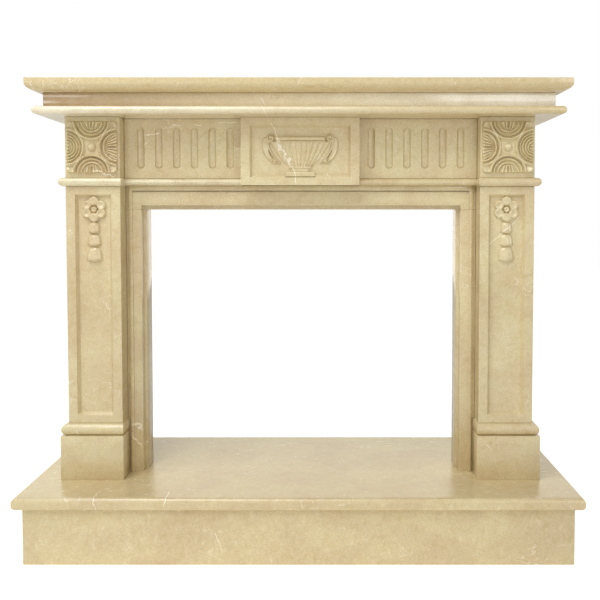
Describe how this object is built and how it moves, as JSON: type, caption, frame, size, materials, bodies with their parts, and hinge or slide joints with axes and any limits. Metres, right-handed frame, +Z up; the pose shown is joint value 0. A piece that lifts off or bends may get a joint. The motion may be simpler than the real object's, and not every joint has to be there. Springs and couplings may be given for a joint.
{
  "type": "fireplace mantel",
  "caption": "Marble fireplace surround on a raised hearth, with panelled pilasters, carved pateras, a fluted frieze and an urn tablet.",
  "frame": {"origin": "on the floor, at the middle of the hearth's outline", "axes": "+X to the viewer's right along the mantel, +Y back to the wall, +Z up"},
  "size_m": [1.5, 0.61, 1.2882],
  "materials": {
    "mantel_marble": "polished",
    "hearth_marble": "polished"
  },
  "bodies": {
    "root": {"base_moulding_left": "mantel_marble", "base_moulding_right": "mantel_marble", "bed_slab": "mantel_marble", "centre_tablet": "mantel_marble", "collar_left": "mantel_marble", "collar_right": "mantel_marble", "corner_block_left": "mantel_marble", "corner_block_right": "mantel_marble", "cornice_band_front": "mantel_marble", "cornice_band_left": "mantel_marble", "cornice_band_right": "mantel_marble", "frieze_panel_left": "mantel_marble", "frieze_panel_right": "mantel_marble", "hearth_riser_back": "hearth_marble", "hearth_riser_front": "hearth_marble", "hearth_riser_left": "hearth_marble", "hearth_riser_right": "hearth_marble", "hearth_slab": "hearth_marble", "jamb_left": "mantel_marble", "jamb_right": "mantel_marble", "lintel": "mantel_marble", "mantel_shelf": "mantel_marble", "pilaster_shaft_left": "mantel_marble", "pilaster_shaft_right": "mantel_marble", "plinth_block_left": "mantel_marble", "plinth_block_right": "mantel_marble", "side_return_left": "mantel_marble", "side_return_right": "mantel_marble", "string_course_left": "mantel_marble", "string_course_right": "mantel_marble"}
  },
  "joints": []
}
